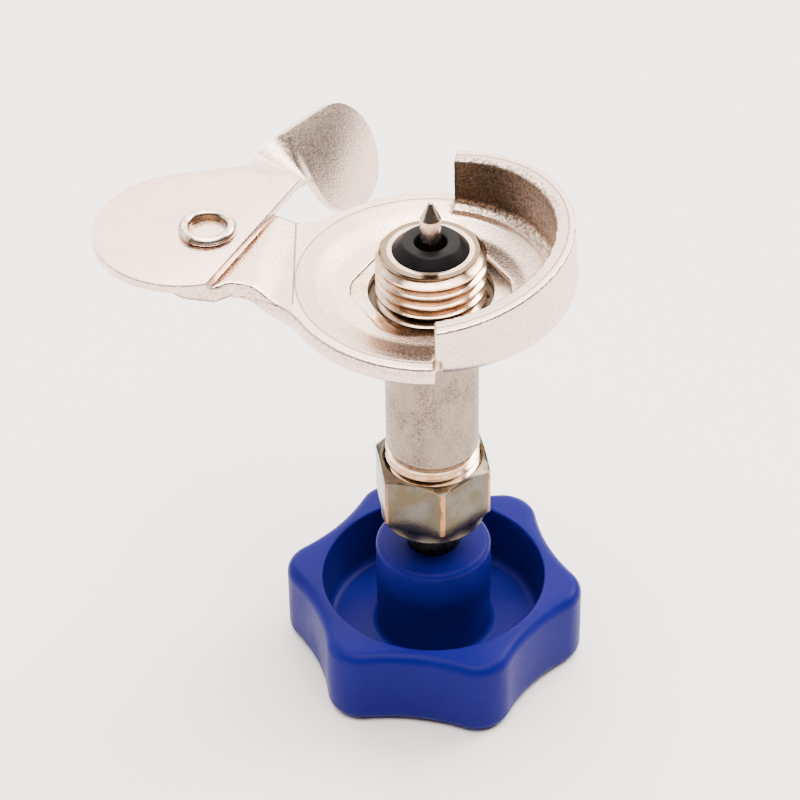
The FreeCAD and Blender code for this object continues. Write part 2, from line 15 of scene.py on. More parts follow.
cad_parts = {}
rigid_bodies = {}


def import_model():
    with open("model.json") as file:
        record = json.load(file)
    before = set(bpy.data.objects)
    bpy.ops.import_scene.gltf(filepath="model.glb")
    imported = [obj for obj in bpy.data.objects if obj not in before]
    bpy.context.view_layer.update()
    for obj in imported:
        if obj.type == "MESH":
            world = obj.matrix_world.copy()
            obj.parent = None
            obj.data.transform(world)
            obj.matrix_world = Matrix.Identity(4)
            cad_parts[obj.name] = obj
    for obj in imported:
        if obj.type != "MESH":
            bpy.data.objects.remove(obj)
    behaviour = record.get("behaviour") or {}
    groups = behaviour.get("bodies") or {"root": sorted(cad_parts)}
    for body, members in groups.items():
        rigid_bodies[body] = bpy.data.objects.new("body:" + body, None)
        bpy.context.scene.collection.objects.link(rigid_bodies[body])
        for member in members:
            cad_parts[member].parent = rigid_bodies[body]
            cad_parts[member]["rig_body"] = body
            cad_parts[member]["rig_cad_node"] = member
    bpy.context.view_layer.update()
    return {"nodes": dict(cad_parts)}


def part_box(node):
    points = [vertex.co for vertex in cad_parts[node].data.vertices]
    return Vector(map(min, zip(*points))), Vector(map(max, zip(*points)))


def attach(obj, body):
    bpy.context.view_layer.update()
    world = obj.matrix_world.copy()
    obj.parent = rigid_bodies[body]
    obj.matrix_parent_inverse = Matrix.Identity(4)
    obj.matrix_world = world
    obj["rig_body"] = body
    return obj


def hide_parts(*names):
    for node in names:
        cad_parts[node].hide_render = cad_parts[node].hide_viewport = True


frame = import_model()
NODES = frame["nodes"]
MM = 0.001
for name in sorted(NODES):
    low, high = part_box(name)
    print(name, [round(v / MM, 2) for v in (*low, *high)])

# %% [markdown]
# The camera looks down on the tap from the front, a little above 39 degrees,
# with a long lens, as a product picture is taken. Its axes are written out,
# because the real one was rolled by a fraction of a degree. The camera comes
# first, since everything else is judged through it.

# %% Camera
SIDE = 800
FOCAL_PIXELS = 2938.5
camera_data = bpy.data.cameras.new("camera")
camera_data.sensor_width = 36.0
camera_data.lens = FOCAL_PIXELS / SIDE * camera_data.sensor_width
camera_data.clip_start = 0.01
camera = bpy.data.objects.new("camera", camera_data)
bpy.context.scene.collection.objects.link(camera)
camera.matrix_world = Matrix((
    (0.9999019, 0.0087804, 0.0109102, 0.0),
    (0.0028479, 0.6352867, -0.7722711, -0.2895524),
    (-0.0137119, 0.7722265, 0.6351994, 0.2796793),
    (0.0, 0.0, 0.0, 1.0),
))
bpy.context.scene.camera = camera
print("lens", round(camera_data.lens, 1), "mm")

# %% [markdown]
# Some places matter to a piece and to a finish. They are worked out once, in
# millimetres, as all sizes here are until they go into a mesh.

# %% Shared places
TONGUE_TURN = math.radians(169.5)
RIVET_REACH = 28.1
PIVOT = RIVET_REACH * Vector((math.cos(TONGUE_TURN), math.sin(TONGUE_TURN), 0.0))
RIVET_BORE = 2.3
LEVER_SHEET = 1.3
LEVER_MIDDLE = 64.0
LEVER_TOP = LEVER_MIDDLE + 0.5 * LEVER_SHEET
NIPPLE_CREST = 6.9
print("rivet at", [round(v, 2) for v in PIVOT])


def heights(node):
    """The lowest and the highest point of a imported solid, in mm."""
    low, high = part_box(node)
    return low[2] / MM, high[2] / MM


# %% [markdown]
# Shader maths reads better as a sum than as a row of nodes. This class wraps
# one socket, so that `a * 2 + b` adds the Math nodes. Any other node comes
# from `node`, which takes its type, its settings and its inputs. Colours are
# mixed with a Mix node, because Math would turn them grey.

# %% A small language for materials
class Wire:
    """One output socket, with arithmetic that adds Math nodes."""

    def __init__(self, tree, socket):
        self.tree = tree
        self.socket = socket

    def _math(self, operation, *values):
        made = self.tree.nodes.new("ShaderNodeMath")
        made.operation = operation
        for k, value in enumerate(values):
            if isinstance(value, Wire):
                self.tree.links.new(value.socket, made.inputs[k])
            else:
                made.inputs[k].default_value = value
        return Wire(self.tree, made.outputs[0])

    def __add__(self, other):
        return self._math("ADD", self, other)

    def __sub__(self, other):
        return self._math("SUBTRACT", self, other)

    def __mul__(self, other):
        return self._math("MULTIPLY", self, other)

    def __radd__(self, other):
        return self._math("ADD", other, self)

    def __rsub__(self, other):
        return self._math("SUBTRACT", other, self)

    def __rmul__(self, other):
        return self._math("MULTIPLY", other, self)

    def power(self, other):
        return self._math("POWER", self, other)

    def absolute(self):
        return self._math("ABSOLUTE", self)

    def band(self, low, high):
        """0 below low, 1 above high, smooth between."""
        made = self.tree.nodes.new("ShaderNodeMapRange")
        made.interpolation_type = "SMOOTHSTEP"
        self.tree.links.new(self.socket, made.inputs["Value"])
        made.inputs["From Min"].default_value = low
        made.inputs["From Max"].default_value = high
        return Wire(self.tree, made.outputs["Result"])


class Finish:
    """A material with one Principled shader, and helpers to feed it."""

    def __init__(self, name, color, roughness, metallic=0.0, **extra):
        self.material = bpy.data.materials.new(name)
        self.material.use_nodes = True
        self.tree = self.material.node_tree
        self.shader = self.tree.nodes["Principled BSDF"]
        self.shader.inputs["Base Color"].default_value = (*color, 1.0)
        self.shader.inputs["Roughness"].default_value = roughness
        self.shader.inputs["Metallic"].default_value = metallic
        for key, value in extra.items():
            self.shader.inputs[key.replace("_", " ")].default_value = value
        self.material.diffuse_color = (*color, 1.0)

    def node(self, kind, settings=None, output=0, **inputs):
        made = self.tree.nodes.new(kind)
        for key, value in (settings or {}).items():
            setattr(made, key, value)
        for key, value in inputs.items():
            socket = made.inputs[key.replace("_", " ")]
            if isinstance(value, Wire):
                self.tree.links.new(value.socket, socket)
            else:
                socket.default_value = value
        return Wire(self.tree, made.outputs[output])

    def place(self, stretch=(1.0, 1.0, 1.0)):
        """Object coordinates in millimetres, stretched along each axis."""
        where = self.node("ShaderNodeTexCoord", output=3)
        return self.node("ShaderNodeMapping", Vector=where, Scale=[s / MM for s in stretch])

    def noise(self, scale, detail=3.0, stretch=(1.0, 1.0, 1.0)):
        """Clouds from 0 to 1. A higher scale makes them smaller."""
        return self.node(
            "ShaderNodeTexNoise",
            Vector=self.place(stretch), Scale=scale, Detail=detail, Roughness=0.55,
        )

    def axis(self, letter):
        """One Object coordinate, in millimetres."""
        split = self.tree.nodes.new("ShaderNodeSeparateXYZ")
        self.tree.links.new(self.place().socket, split.inputs[0])
        return Wire(self.tree, split.outputs["XYZ".index(letter)])

    def facing(self, letter):
        """One part of the direction that the surface faces."""
        normal = self.node("ShaderNodeNewGeometry", output=1)
        split = self.tree.nodes.new("ShaderNodeSeparateXYZ")
        self.tree.links.new(normal.socket, split.inputs[0])
        return Wire(self.tree, split.outputs["XYZ".index(letter)])

    def vector(self, x, y, z):
        return self.node("ShaderNodeCombineXYZ", X=x, Y=y, Z=z)

    def mix(self, factor, first, second):
        made = self.tree.nodes.new("ShaderNodeMix")
        made.data_type = "RGBA"
        sockets = made.inputs[0], made.inputs[6], made.inputs[7]
        for socket, value in zip(sockets, (factor, first, second)):
            if isinstance(value, Wire):
                self.tree.links.new(value.socket, socket)
            elif isinstance(value, tuple):
                socket.default_value = (*value, 1.0)
            else:
                socket.default_value = value
        return Wire(self.tree, made.outputs[2])

    def feed(self, name, wire):
        self.tree.links.new(wire.socket, self.shader.inputs[name])

    def bump(self, height, strength, distance):
        """Relief from a height of 0 to 1, which stands for distance in mm."""
        made = self.tree.nodes.new("ShaderNodeBump")
        made.inputs["Strength"].default_value = strength
        made.inputs["Distance"].default_value = distance * MM
        self.tree.links.new(height.socket, made.inputs["Height"])
        self.tree.links.new(made.outputs[0], self.shader.inputs["Normal"])


def dress(piece, finish):
    """Gives one finish to the whole of a piece."""
    slots = piece.data.materials
    if len(slots) == 0:
        slots.append(finish.material)
    for k in range(len(slots)):
        slots[k] = finish.material


def line_at(wire, place, width):
    """1 where a value is close to a place, 0 away from it."""
    return 1.0 - (wire - place).absolute().band(0.3 * width, width)


# %% [markdown]
# Nickel on pressed steel is pale and a little pink. It is a rough mirror: most
# of its shade is what it reflects, and the sandy look comes from a fine grain
# in the sheet that tilts each reflection. So the grain is relief, not colour,
# and the colour only wanders a little.

# %% Satin nickel on the pressed parts
def satin_nickel(name, color, deep, roughness):
    made = Finish(name, color, roughness, 1.0)
    cloud = made.noise(0.3, 4.0).band(0.42, 0.68)
    speck = made.noise(3.6, 3.0)
    made.color = made.mix(cloud * 0.25 + speck.band(0.5, 0.7) * 0.75, color, deep)
    made.relief = speck + made.noise(1.3, 2.0) * 0.5
    made.feed("Base Color", made.color)
    made.feed("Roughness", roughness + speck.band(0.45, 0.7) * 0.12)
    made.bump(made.relief, 0.6, 0.06)
    return made


EDGE_DARK = (0.10, 0.075, 0.06)
DEEP_NICKEL = (0.58, 0.44, 0.37)
SATIN = 0.24
lever_nickel = satin_nickel("lever_nickel", (0.80, 0.62, 0.53), DEEP_NICKEL, SATIN)
side_face = 1.0 - lever_nickel.facing("Z").absolute().band(0.25, 0.6)
broken = lever_nickel.noise(0.7, 3.0).band(0.3, 0.5)
# A dark line painted high on the side faces: painted edge shade, with a burr.
burr_and_edge_shade = line_at(lever_nickel.axis("Z"), LEVER_TOP - 0.24, 0.16) * side_face * broken
lever_nickel.feed("Base Color", lever_nickel.mix(burr_and_edge_shade * 0.85, lever_nickel.color, EDGE_DARK))
print("lever_nickel", len(lever_nickel.tree.nodes), "nodes")

# %% [markdown]
# The bracket has the same plating with more to show: rings that the dishing
# punch left, a darker band on the dish, a sheared edge that is rough and grey
# in its upper half, a dark line where the shear's burr was, darker blotches at
# one side of the inner wall's foot, and scratches outside. Painted shade is
# added too: a dark line in the sharp crease where the tongue bends up, a darker
# slope on the tongue, and a dark inner wall, darkest on the left, which is
# painted shade and tarnish. Each is a mask worked out from the distance to the
# axis, the height and the way that the surface faces.

# %% Bracket finish: the places
RIM_TOP = 61.05
WALL_TOP = 66.85
WALL_RISE = math.tan(math.radians(9.0))
WALL_HIGH_TURN = math.radians(13.8)
CREASE_X = -16.95
DISH_RING = 16.8
SHEAR_X = 0.3
bracket_nickel = satin_nickel("bracket_nickel", (0.80, 0.63, 0.54), DEEP_NICKEL, SATIN)
x, y, z = (bracket_nickel.axis(letter) for letter in "XYZ")
reach = (x * x + y * y).power(0.5)
side_face = 1.0 - bracket_nickel.facing("Z").absolute().band(0.25, 0.6)
outside = reach.band(17.1, 17.3)
on_wall = side_face * z.band(61.4, 61.9)
on_rim = 1.0 - x.band(SHEAR_X - 0.8, SHEAR_X)

# %% Bracket finish: what the tools left, and painted shade in the crease
rings = bracket_nickel.vector(reach * 3.0, 0.0, 0.0)
ripple = bracket_nickel.node("ShaderNodeTexNoise", Vector=rings, Detail=2.0)
dish_ring = line_at(reach, DISH_RING, 0.2)
dish_band = reach.band(14.1, 14.5) * (1.0 - reach.band(DISH_RING - 0.3, DISH_RING))
tool_marks = ripple.band(0.5, 0.62) * dish_band * bracket_nickel.noise(0.2, 2.0).band(0.4, 0.6)
# The crease gets a dark line in its colour: painted shade in the bend. Its relief is real.
crease = line_at(x, CREASE_X, 0.14) * (1.0 - side_face) * y.band(-5.2, -5.0)
slope = (1.0 - x.band(CREASE_X - 0.1, CREASE_X)) * x.band(-20.5, -17.3) * (1.0 - side_face)
burr_rim = line_at(z, RIM_TOP - 0.22, 0.14) * on_rim * reach.band(17.9, 18.0)
toward_high = x * math.cos(WALL_HIGH_TURN) + y * math.sin(WALL_HIGH_TURN)
below_top = WALL_TOP + toward_high * WALL_RISE - z
burr_wall = line_at(below_top, 0.2, 0.16) * outside
broken = bracket_nickel.noise(0.8, 3.0).band(0.38, 0.5)
burr_and_edge_shade = (burr_rim + burr_wall) * side_face * broken

# %% Bracket finish: scratches, sheared edge, blotches, and painted shade on the inner wall
stretched = bracket_nickel.noise(1.1, 4.0, stretch=(1.6, 1.6, 0.22))
scratch = stretched.band(0.62, 0.74) * on_wall * outside
blotch = bracket_nickel.noise(2.2, 4.0).band(0.46, 0.58)
wall_foot = line_at(reach, 15.5, 1.3)
# Darker blotches at the foot of the inner wall, on one side.
wall_foot_blotches = wall_foot * x.band(0.0, 6.0) * y.band(-4.0, 8.0) * blotch
sheared = side_face * on_rim * z.band(59.6, 59.9) * blotch
inner_face = side_face * reach.band(14.9, 15.3) * (1.0 - reach.band(16.3, 16.5))
# The inner wall is darkened, most on the left: painted shade, with some tarnish.
inner_wall_shade_and_tarnish = inner_face * z.band(61.2, 62.4) * (1.0 - x.band(6.0, 17.0) * 0.55)

# %% Bracket finish: the colours, from the widest mark to the finest
# The dish band gets a darker tone, and the tongue's slope gets painted shade.
band_and_slope_shade = dish_band * 0.45 + slope * 0.3
tone = bracket_nickel.mix(band_and_slope_shade, bracket_nickel.color, (0.50, 0.37, 0.30))
# The crease line in this sum is painted shade.
worked_and_crease_shade = dish_ring * 0.7 + tool_marks * 0.3 + crease * 0.8
marks_and_blotches = scratch * 0.45 + wall_foot_blotches * 0.85 + sheared * 0.4
tone = bracket_nickel.mix(worked_and_crease_shade + marks_and_blotches, tone, (0.16, 0.12, 0.09))
tone = bracket_nickel.mix(burr_and_edge_shade * 0.85, tone, EDGE_DARK)
# Painted shade and tarnish on the inner wall.
tone = bracket_nickel.mix(inner_wall_shade_and_tarnish * 0.93, tone, (0.075, 0.069, 0.060))
bracket_nickel.feed("Base Color", tone)
pressed_in = dish_ring * 1.2 + crease * 1.5 + scratch * 0.6
bracket_nickel.bump(bracket_nickel.relief - pressed_in, 0.6, 0.06)
print("bracket_nickel", len(bracket_nickel.tree.nodes), "nodes")

# %% [markdown]
# The valve body is one turning, but it was finished in two ways. Its stem is
# dull and mottled, like metal that was blasted before it was plated. The cut
# threads stayed smooth, so they shine; their roots and the groove at their
# foot are painted dark brown, as painted shade. The height tells which is which.

# %% Valve body finish
STEM_LOW = 34.6
STEM_HIGH = 57.2
GROOVE_LOW = 57.4
GROOVE_HIGH = 58.1
NIPPLE_LOW = 57.1
valve_nickel = Finish("valve_nickel", (0.5, 0.4, 0.33), 0.4, 1.0)
x, y, z = (valve_nickel.axis(letter) for letter in "XYZ")
reach = (x * x + y * y).power(0.5)
on_stem = z.band(STEM_LOW - 0.2, STEM_LOW) * (1.0 - z.band(STEM_HIGH - 0.1, STEM_HIGH))
speck = valve_nickel.noise(3.2, 4.0)
patch = valve_nickel.noise(0.32, 3.0, stretch=(1.0, 1.0, 0.6)).band(0.4, 0.62)
stem = valve_nickel.mix(speck.band(0.4, 0.68), (0.25, 0.19, 0.155), (0.10, 0.075, 0.058))
stem = valve_nickel.mix(patch * 0.5, stem, (0.34, 0.265, 0.22))
gold = valve_nickel.noise(0.7, 3.0).band(0.4, 0.65)
thread = valve_nickel.mix(gold, (0.78, 0.62, 0.50), (0.60, 0.44, 0.29))
# The thread roots are darkened brown: painted shade under the crests.
below_crest = 1.0 - reach.band(NIPPLE_CREST - 0.85, NIPPLE_CREST - 0.3)
depth = below_crest * reach.band(5.3, 5.5) * z.band(NIPPLE_LOW - 0.2, NIPPLE_LOW)
thread = valve_nickel.mix(depth * 0.9, thread, (0.13, 0.085, 0.045))
# The groove at the foot of the thread is painted dark: painted shade. Its extra roughness is
# real.
in_groove = z.band(GROOVE_LOW, GROOVE_LOW + 0.2) * (1.0 - z.band(GROOVE_HIGH, GROOVE_HIGH + 0.3))
groove_shade = in_groove * (1.0 - reach.band(7.9, 8.0))
thread = valve_nickel.mix(groove_shade * 0.9, thread, (0.05, 0.038, 0.028))
valve_nickel.feed("Base Color", valve_nickel.mix(on_stem, thread, stem))
valve_nickel.feed("Roughness", 0.11 + on_stem * 0.27 + groove_shade * 0.4 + speck * 0.06)
valve_nickel.bump(speck * (0.12 + on_stem), 0.5, 0.05)
print("valve_nickel", len(valve_nickel.tree.nodes), "nodes")

# %% [markdown]
# The small turned parts are bright. Turning leaves rings that are far finer
# than a hair, so they only stretch the highlights round the part.

# %% Bright metals
def bright_metal(name, color, deep, roughness, ring_relief=0.008):
    made = Finish(name, color, roughness, 1.0)
    made.color = made.mix(made.noise(0.8, 3.0).band(0.4, 0.7), color, deep)
    rings = made.noise(2.2, 2.0, stretch=(0.4, 0.4, 6.0))
    made.feed("Base Color", made.color)
    made.feed("Roughness", roughness + rings * 0.08)
    made.bump(rings + made.noise(3.0, 2.0) * 0.5, 0.3, ring_relief)
    return made


fitting_nickel = bright_metal("fitting_nickel", (0.84, 0.78, 0.72), (0.70, 0.62, 0.54), 0.14)
rivet_nickel = bright_metal("rivet_nickel", (0.80, 0.68, 0.59), (0.58, 0.47, 0.39), 0.2, 0.02)
needle_steel = bright_metal("needle_steel", (0.52, 0.44, 0.38), (0.34, 0.27, 0.22), 0.16)
# The spindle is near black: painted shade for the shadow under the nut.
spindle_shadow_black = bright_metal("spindle_shadow_black", (0.04, 0.036, 0.036), (0.02, 0.018, 0.018), 0.32)
gland_brass = bright_metal("gland_brass", (0.70, 0.50, 0.22), (0.58, 0.40, 0.16), 0.25)
washer_steel = bright_metal("washer_steel", (0.34, 0.29, 0.25), (0.24, 0.20, 0.17), 0.3)

# %% Brown bore and sooty rim of the rivet
x = rivet_nickel.axis("X") - PIVOT.x
y = rivet_nickel.axis("Y") - PIVOT.y
from_pin = (x * x + y * y).power(0.5)
bore = (1.0 - from_pin.band(RIVET_BORE, RIVET_BORE + 0.25)) * from_pin.band(1.3, 1.7)
soot = rivet_nickel.noise(1.6, 3.0).band(0.58, 0.64) * from_pin.band(2.5, 2.7)
tone = rivet_nickel.mix(bore * 0.85, rivet_nickel.color, (0.30, 0.21, 0.13))
rivet_nickel.feed("Base Color", rivet_nickel.mix(soot * 0.7, tone, (0.12, 0.09, 0.07)))
print("rivet_nickel", len(rivet_nickel.tree.nodes), "nodes")

# %% [markdown]
# The packing nut is zinc plated and passivated yellow. That film is thin, so
# most of the nut looks grey with olive and violet clouds, and it turns orange
# only in places on the edges, where it is thickest. The six upright edges are
# what lies farthest from the axis, so the distance to it finds them.

# %% Yellow passivated zinc
NUT_EDGE = 7.72


def yellow_zinc_finish():
    made = Finish("yellow_zinc", (0.20, 0.18, 0.14), 0.2, 1.0)
    cloud = made.noise(0.35, 3.0)
    streak = made.noise(0.9, 3.0, stretch=(1.0, 1.0, 0.3))
    tone = made.mix(cloud.band(0.38, 0.62), (0.11, 0.10, 0.085), (0.09, 0.072, 0.043))
    tone = made.mix(streak.band(0.5, 0.7) * 0.6, tone, (0.065, 0.06, 0.062))
    x, y = made.axis("X"), made.axis("Y")
    edge = (x * x + y * y).power(0.5).band(NUT_EDGE, NUT_EDGE + 0.14)
    tone = made.mix(edge * streak.band(0.38, 0.55) * 0.8, tone, (0.50, 0.22, 0.07))
    made.feed("Base Color", tone)
    made.feed("Roughness", 0.15 + streak * 0.1)
    made.bump(made.noise(2.6, 3.0) + streak * 0.5, 0.4, 0.03)
    return made


yellow_zinc = yellow_zinc_finish()
print("yellow_zinc", len(yellow_zinc.tree.nodes), "nodes")

# %% [markdown]
# The seal is moulded rubber, black and slightly glossy, with dust on it. The
# knob is moulded plastic, dyed through. Its skin is smooth but never flat: it
# has a faint orange peel, and handling leaves it a little duller in patches.

# %% Rubber, packing and plastic
RUBBER_BLACK = (0.004, 0.004, 0.005)
seal_rubber = Finish("seal_rubber", RUBBER_BLACK, 0.36, Specular_IOR_Level=0.08)
dust = seal_rubber.noise(3.5, 2.0).band(0.7, 0.78)
seal_rubber.feed("Base Color", seal_rubber.mix(dust * 0.4, RUBBER_BLACK, (0.10, 0.10, 0.11)))
seal_rubber.feed("Roughness", 0.32 + seal_rubber.noise(1.5, 3.0) * 0.2)
seal_rubber.bump(seal_rubber.noise(2.0, 3.0), 0.35, 0.03)

packing = Finish("packing_ring", (0.80, 0.80, 0.76), 0.5)
packing.feed("Roughness", 0.42 + packing.noise(1.5, 2.0) * 0.2)
packing.bump(packing.noise(3.0, 2.0), 0.3, 0.02)

blue_plastic = Finish("blue_plastic", (0.013, 0.005, 0.13), 0.34, Specular_IOR_Level=0.05)
dull = blue_plastic.noise(0.12, 3.0).band(0.4, 0.7)
blue_plastic.feed(
    "Base Color", blue_plastic.mix(dull * 0.5, (0.006, 0.005, 0.13), (0.009, 0.008, 0.155))
)
blue_plastic.feed("Roughness", 0.30 + dull * 0.1 + blue_plastic.noise(1.0, 3.0) * 0.06)
orange_peel = blue_plastic.noise(0.5, 3.0) + blue_plastic.noise(3.0, 2.0) * 0.15
blue_plastic.bump(orange_peel, 0.25, 0.06)
print("materials so far:", len(bpy.data.materials))

# %% [markdown]
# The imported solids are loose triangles. A copy of one, with its corners
# merged, can be cut and softened like any modelled piece, and it keeps every
# size of the solid. So the threads, the soft edges and the mould marks are
# worked into copies, while the turned parts, which need rounder forms than
# the solids have, are spun from outlines of their own.

# %% Helpers for modelling
WELD = 0.002


def only(piece):
    """Makes one piece the whole selection."""
    bpy.ops.object.select_all(action="DESELECT")
    piece.select_set(True)
    bpy.context.view_layer.objects.active = piece


def edit(piece):
    """Goes into edit mode with every vertex of one piece selected."""
    only(piece)
    bpy.ops.object.mode_set(mode="EDIT")
    bpy.ops.mesh.select_all(action="SELECT")


def done():
    """Goes back to object mode."""
    bpy.ops.object.mode_set(mode="OBJECT")


def apply_all(piece):
    """Applies the modifiers of a piece in their order."""
    only(piece)
    for modifier in list(piece.modifiers):
        bpy.ops.object.modifier_apply(modifier=modifier.name)


def smooth(piece, degrees=32.0):
    """Shades a piece smooth, up to edges sharper than an angle."""
    only(piece)
    bpy.ops.object.shade_smooth_by_angle(angle=math.radians(degrees))


def soften(piece, width, degrees=28.0, segments=2):
    """Rounds every edge that is sharper than an angle. width is in mm."""
    bevel = piece.modifiers.new("soft_edges", "BEVEL")
    bevel.width = width * MM
    bevel.segments = segments
    bevel.limit_method = "ANGLE"
    bevel.angle_limit = math.radians(degrees)
    apply_all(piece)


def copy_of(node, name):
    """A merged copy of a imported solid, ready to be cut."""
    source = NODES[node]
    piece = source.copy()
    piece.data = source.data.copy()
    piece.name = piece.data.name = name
    piece.parent = None
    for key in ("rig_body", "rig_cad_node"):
        if key in piece:
            del piece[key]
    bpy.context.scene.collection.objects.link(piece)
    piece.data.materials.clear()
    edit(piece)
    bpy.ops.mesh.remove_doubles(threshold=1e-7)
    bpy.ops.mesh.customdata_custom_splitnormals_clear()
    done()
    return piece


def ring_of(name, outline):
    """A closed ring of vertices laid out as an (r, z) outline in mm."""
    bpy.ops.object.select_all(action="DESELECT")
    bpy.ops.mesh.primitive_circle_add(vertices=len(outline), radius=0.01, fill_type="NOTHING")
    piece = bpy.context.object
    piece.name = piece.data.name = name
    for vertex, (r, z) in zip(piece.data.vertices, outline):
        vertex.co = (r * MM, 0.0, z * MM)
    return piece


def spun(name, outline, steps=96):
    """A turned piece: the outline is spun round Z, then its seam is closed."""
    piece = ring_of(name, outline)
    edit(piece)
    bpy.ops.mesh.spin(
        steps=steps, angle=2.0 * math.pi, center=(0.0, 0.0, 0.0), axis=(0.0, 0.0, 1.0)
    )
    bpy.ops.mesh.select_all(action="SELECT")
    bpy.ops.mesh.remove_doubles(threshold=WELD * MM)
    bpy.ops.mesh.select_all(action="SELECT")
    bpy.ops.mesh.normals_make_consistent(inside=False)
    done()
    return piece


def cut(piece, tool, how="DIFFERENCE"):
    """Cuts a tool out of a piece, or unites the two, and drops the tool."""
    boolean = piece.modifiers.new("cut", "BOOLEAN")
    boolean.operation = how
    boolean.object = tool
    boolean.solver = "EXACT"
    apply_all(piece)
    bpy.data.objects.remove(tool)


def stands_for(piece, node, body, finish):
    """Gives a finished piece its finish and its body, and hides the solid that it stands for."""
    dress(piece, finish)
    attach(piece, body)
    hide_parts(node)
    print(piece.name, len(piece.data.vertices), "vertices")


# %% [markdown]
# A die cuts a thread as a V-shaped groove that runs round the blank like the
# stripe on a barber's pole. The same is done here: a wedge is screwed round
# the axis with the Screw modifier, its two ends are closed, and it is
# subtracted from the blank. A drawn pattern of rings would be cheaper, but
# rings don't climb, and the outline of a real thread is a zigzag.

# %% The thread cutter
def thread_cutter(name, crest, depth, pitch, start, turns, steps=72):
    """A helical wedge: crest radius, depth, pitch and start height in mm."""
    over = 0.5
    lean = math.tan(math.radians(30.0))
    root_half = 0.07 * pitch
    mouth_half = root_half + (depth + over) * lean
    piece = ring_of(name, [
        (crest - depth, start - root_half),
        (crest + over, start - mouth_half),
        (crest + over, start + mouth_half),
        (crest - depth, start + root_half),
    ])
    screw = piece.modifiers.new("screw", "SCREW")
    screw.axis = "Z"
    screw.angle = 2.0 * math.pi
    screw.screw_offset = pitch * MM
    screw.iterations = turns
    screw.steps = screw.render_steps = steps
    apply_all(piece)
    edit(piece)
    bpy.ops.mesh.select_all(action="DESELECT")
    bpy.ops.mesh.select_mode(type="EDGE")
    bpy.ops.mesh.select_non_manifold()
    bpy.ops.mesh.fill_holes(sides=4)
    bpy.ops.mesh.select_all(action="SELECT")
    bpy.ops.mesh.normals_make_consistent(inside=False)
    bpy.ops.mesh.select_mode(type="VERT")
    done()
    return piece


# %% [markdown]
# The solid's nipple has a plain neck under its thread. The real thread runs
# down into that neck, so a tube first fills the neck out to the crest, and
# the die then cuts the tube and the nipple in one go.

# %% Valve body with its two threads
RUN_IN_LOW = 57.95
RUN_IN_HIGH = 60.55
RUN_IN_BORE = 4.0
body = copy_of("valve_body", "valve_turning")
bpy.ops.object.select_all(action="DESELECT")
bpy.ops.mesh.primitive_cylinder_add(
    vertices=128,
    radius=(NIPPLE_CREST - 0.005) * MM,
    depth=(RUN_IN_HIGH - RUN_IN_LOW) * MM,
    location=(0.0, 0.0, 0.5 * (RUN_IN_LOW + RUN_IN_HIGH) * MM),
)
run_in = bpy.context.object
bpy.ops.object.transform_apply(location=True, rotation=False, scale=False)
plug_low, plug_high = RUN_IN_LOW - 1.0, RUN_IN_HIGH + 1.0
cut(run_in, spun("run_in_bore", [
    (0.0, plug_low), (RUN_IN_BORE, plug_low), (RUN_IN_BORE, plug_high), (0.0, plug_high),
], 64))
cut(body, run_in, "UNION")
cut(body, thread_cutter(
    "nipple_die", crest=NIPPLE_CREST, depth=0.88, pitch=1.5, start=RUN_IN_LOW, turns=6
))
cut(body, thread_cutter("stem_die", crest=6.1, depth=0.75, pitch=1.25, start=27.6, turns=5))
smooth(body, 30.0)
stands_for(body, "valve_body", "valve", valve_nickel)

# %% Outlet fitting with its thread
OUTLET_TURN = math.radians(78.0)
OUTLET_HEIGHT = 48.5
fitting = copy_of("outlet_fitting", "outlet_turning")
die = thread_cutter("outlet_die", crest=5.55, depth=0.72, pitch=1.27, start=8.0, turns=7)
upright_to_level = Matrix.Rotation(math.radians(90.0), 4, "Y")
lay_down = Matrix.Rotation(OUTLET_TURN, 4, "Z") @ upright_to_level
die.data.transform(Matrix.Translation((0.0, 0.0, OUTLET_HEIGHT * MM)) @ lay_down)
cut(fitting, die)
smooth(fitting, 30.0)
stands_for(fitting, "outlet_fitting", "valve", fitting_nickel)

# %% [markdown]
# The bracket is one stamping. Shears and tumbling leave its edges slightly
# round, and that thin round edge is what catches the light. A bevel fails
# where its bends meet, so the copy is rebuilt from small even cells, and
# those are relaxed.

# %% Bracket
CELL = 0.22
bracket = copy_of("bracket_plate", "bracket_stamping")
remesh = bracket.modifiers.new("skin", "REMESH")
remesh.mode = "VOXEL"
remesh.voxel_size = CELL * MM
relax = bracket.modifiers.new("tumbled", "SMOOTH")
relax.factor = 0.5
relax.iterations = 4
apply_all(bracket)
bpy.ops.object.shade_smooth()
stands_for(bracket, "bracket_plate", "valve", bracket_nickel)

# %% Packing nut
nut = copy_of("packing_nut", "nut_hexagon")
edit(nut)
bpy.ops.mesh.dissolve_limited(angle_limit=math.radians(0.4))
done()
soften(nut, 0.12, 25.0)
smooth(nut, 35.0)
stands_for(nut, "packing_nut", "valve", yellow_zinc)

# %% [markdown]
# The lever is cut from flat sheet and then twisted, so it is made the same
# way: a flat outline is filled, sliced across where it will twist, given its
# thickness and soft edges, and then turned slice by slice.

# %% Lever
def along(centre, radius, start, stop, count):
    """Points of an arc in mm, angles in degrees."""
    made = []
    for k in range(count + 1):
        a = math.radians(start + (stop - start) * k / count)
        made.append((centre[0] + radius * math.cos(a), centre[1] + radius * math.sin(a)))
    return made


